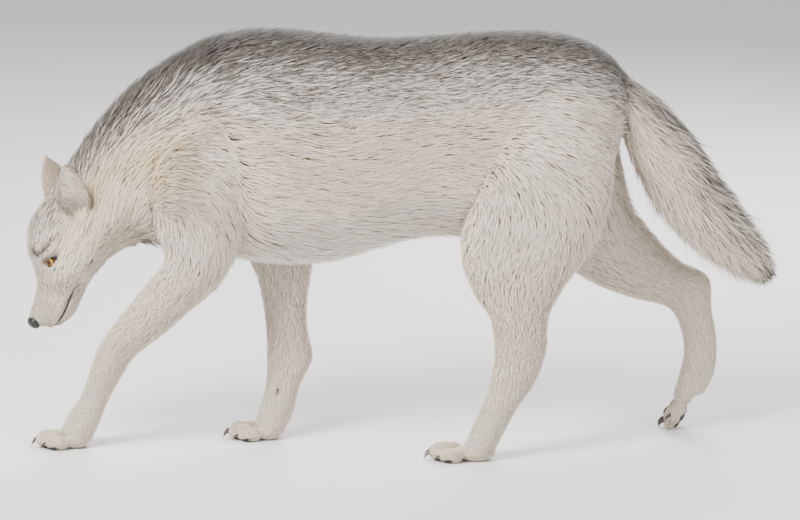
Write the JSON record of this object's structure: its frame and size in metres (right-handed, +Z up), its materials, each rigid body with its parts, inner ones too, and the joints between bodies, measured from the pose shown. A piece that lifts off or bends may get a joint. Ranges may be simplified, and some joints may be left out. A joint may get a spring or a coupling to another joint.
{
  "type": "grey wolf, life-size still model",
  "caption": "Adult grey wolf at life size, walking with its head held low and its tail hanging: a still model in separate body parts, standing on its paws.",
  "frame": {"origin": "on the floor, under the middle of the model's box", "axes": "+Z up, the head points to -X, the wolf's left side is -Y"},
  "size_m": [1.4146, 0.329, 0.802],
  "materials": {
    "coat_back": "dense guard hair, grey with dark tips",
    "coat_pale": "short cream hair",
    "eye": "wet amber eye",
    "nose": "damp dark pebbled skin",
    "claw": "dark horn"
  },
  "bodies": {
    "root": {"trunk": "coat_back", "neck": "coat_back", "head": "coat_back", "lower_jaw": "coat_pale", "nose": "nose", "left_eye": "eye", "right_eye": "eye", "left_ear": "coat_back", "right_ear": "coat_back", "tail": "coat_back", "left_upper_foreleg": "coat_back", "left_forearm": "coat_pale", "left_forepaw": "coat_pale", "left_forepaw_inner_claw": "claw", "left_forepaw_inner_middle_claw": "claw", "left_forepaw_outer_middle_claw": "claw", "left_forepaw_outer_claw": "claw", "left_forepaw_dewclaw": "claw", "right_upper_foreleg": "coat_back", "right_forearm": "coat_pale", "right_forepaw": "coat_pale", "right_forepaw_inner_claw": "claw", "right_forepaw_inner_middle_claw": "claw", "right_forepaw_outer_middle_claw": "claw", "right_forepaw_outer_claw": "claw", "right_forepaw_dewclaw": "claw", "left_thigh": "coat_back", "left_shank": "coat_pale", "left_hindpaw": "coat_pale", "left_hindpaw_inner_claw": "claw", "left_hindpaw_inner_middle_claw": "claw", "left_hindpaw_outer_middle_claw": "claw", "left_hindpaw_outer_claw": "claw", "right_thigh": "coat_back", "right_shank": "coat_pale", "right_hindpaw": "coat_pale", "right_hindpaw_inner_claw": "claw", "right_hindpaw_inner_middle_claw": "claw", "right_hindpaw_outer_middle_claw": "claw", "right_hindpaw_outer_claw": "claw"}
  },
  "joints": []
}
